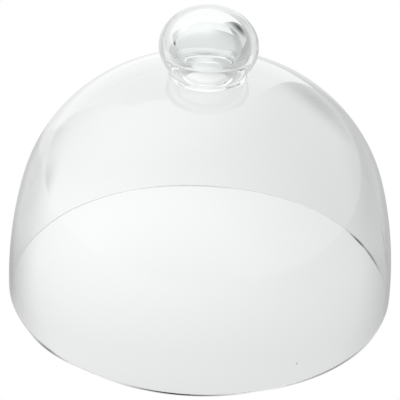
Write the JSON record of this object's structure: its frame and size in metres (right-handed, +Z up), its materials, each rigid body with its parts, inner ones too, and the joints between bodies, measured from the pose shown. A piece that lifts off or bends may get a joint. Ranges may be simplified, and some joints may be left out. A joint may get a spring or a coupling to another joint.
{
  "type": "cake dome",
  "caption": "Clear glass bell with round shoulders, a flat ground rim and a ball knob, set over a cake or a plate of food to keep it covered.",
  "frame": {"origin": "centre of the rim, in the plane that it stands on", "axes": "+Z up along the bell's axis of turning, towards the knob; X and Y are alike"},
  "size_m": [0.26, 0.26, 0.2008],
  "materials": {
    "clear_glass": "fire-polished clear soda-lime glass"
  },
  "bodies": {
    "root": {"dome_shell": "clear_glass", "knob_collar": "clear_glass", "ball_knob": "clear_glass"}
  },
  "joints": []
}
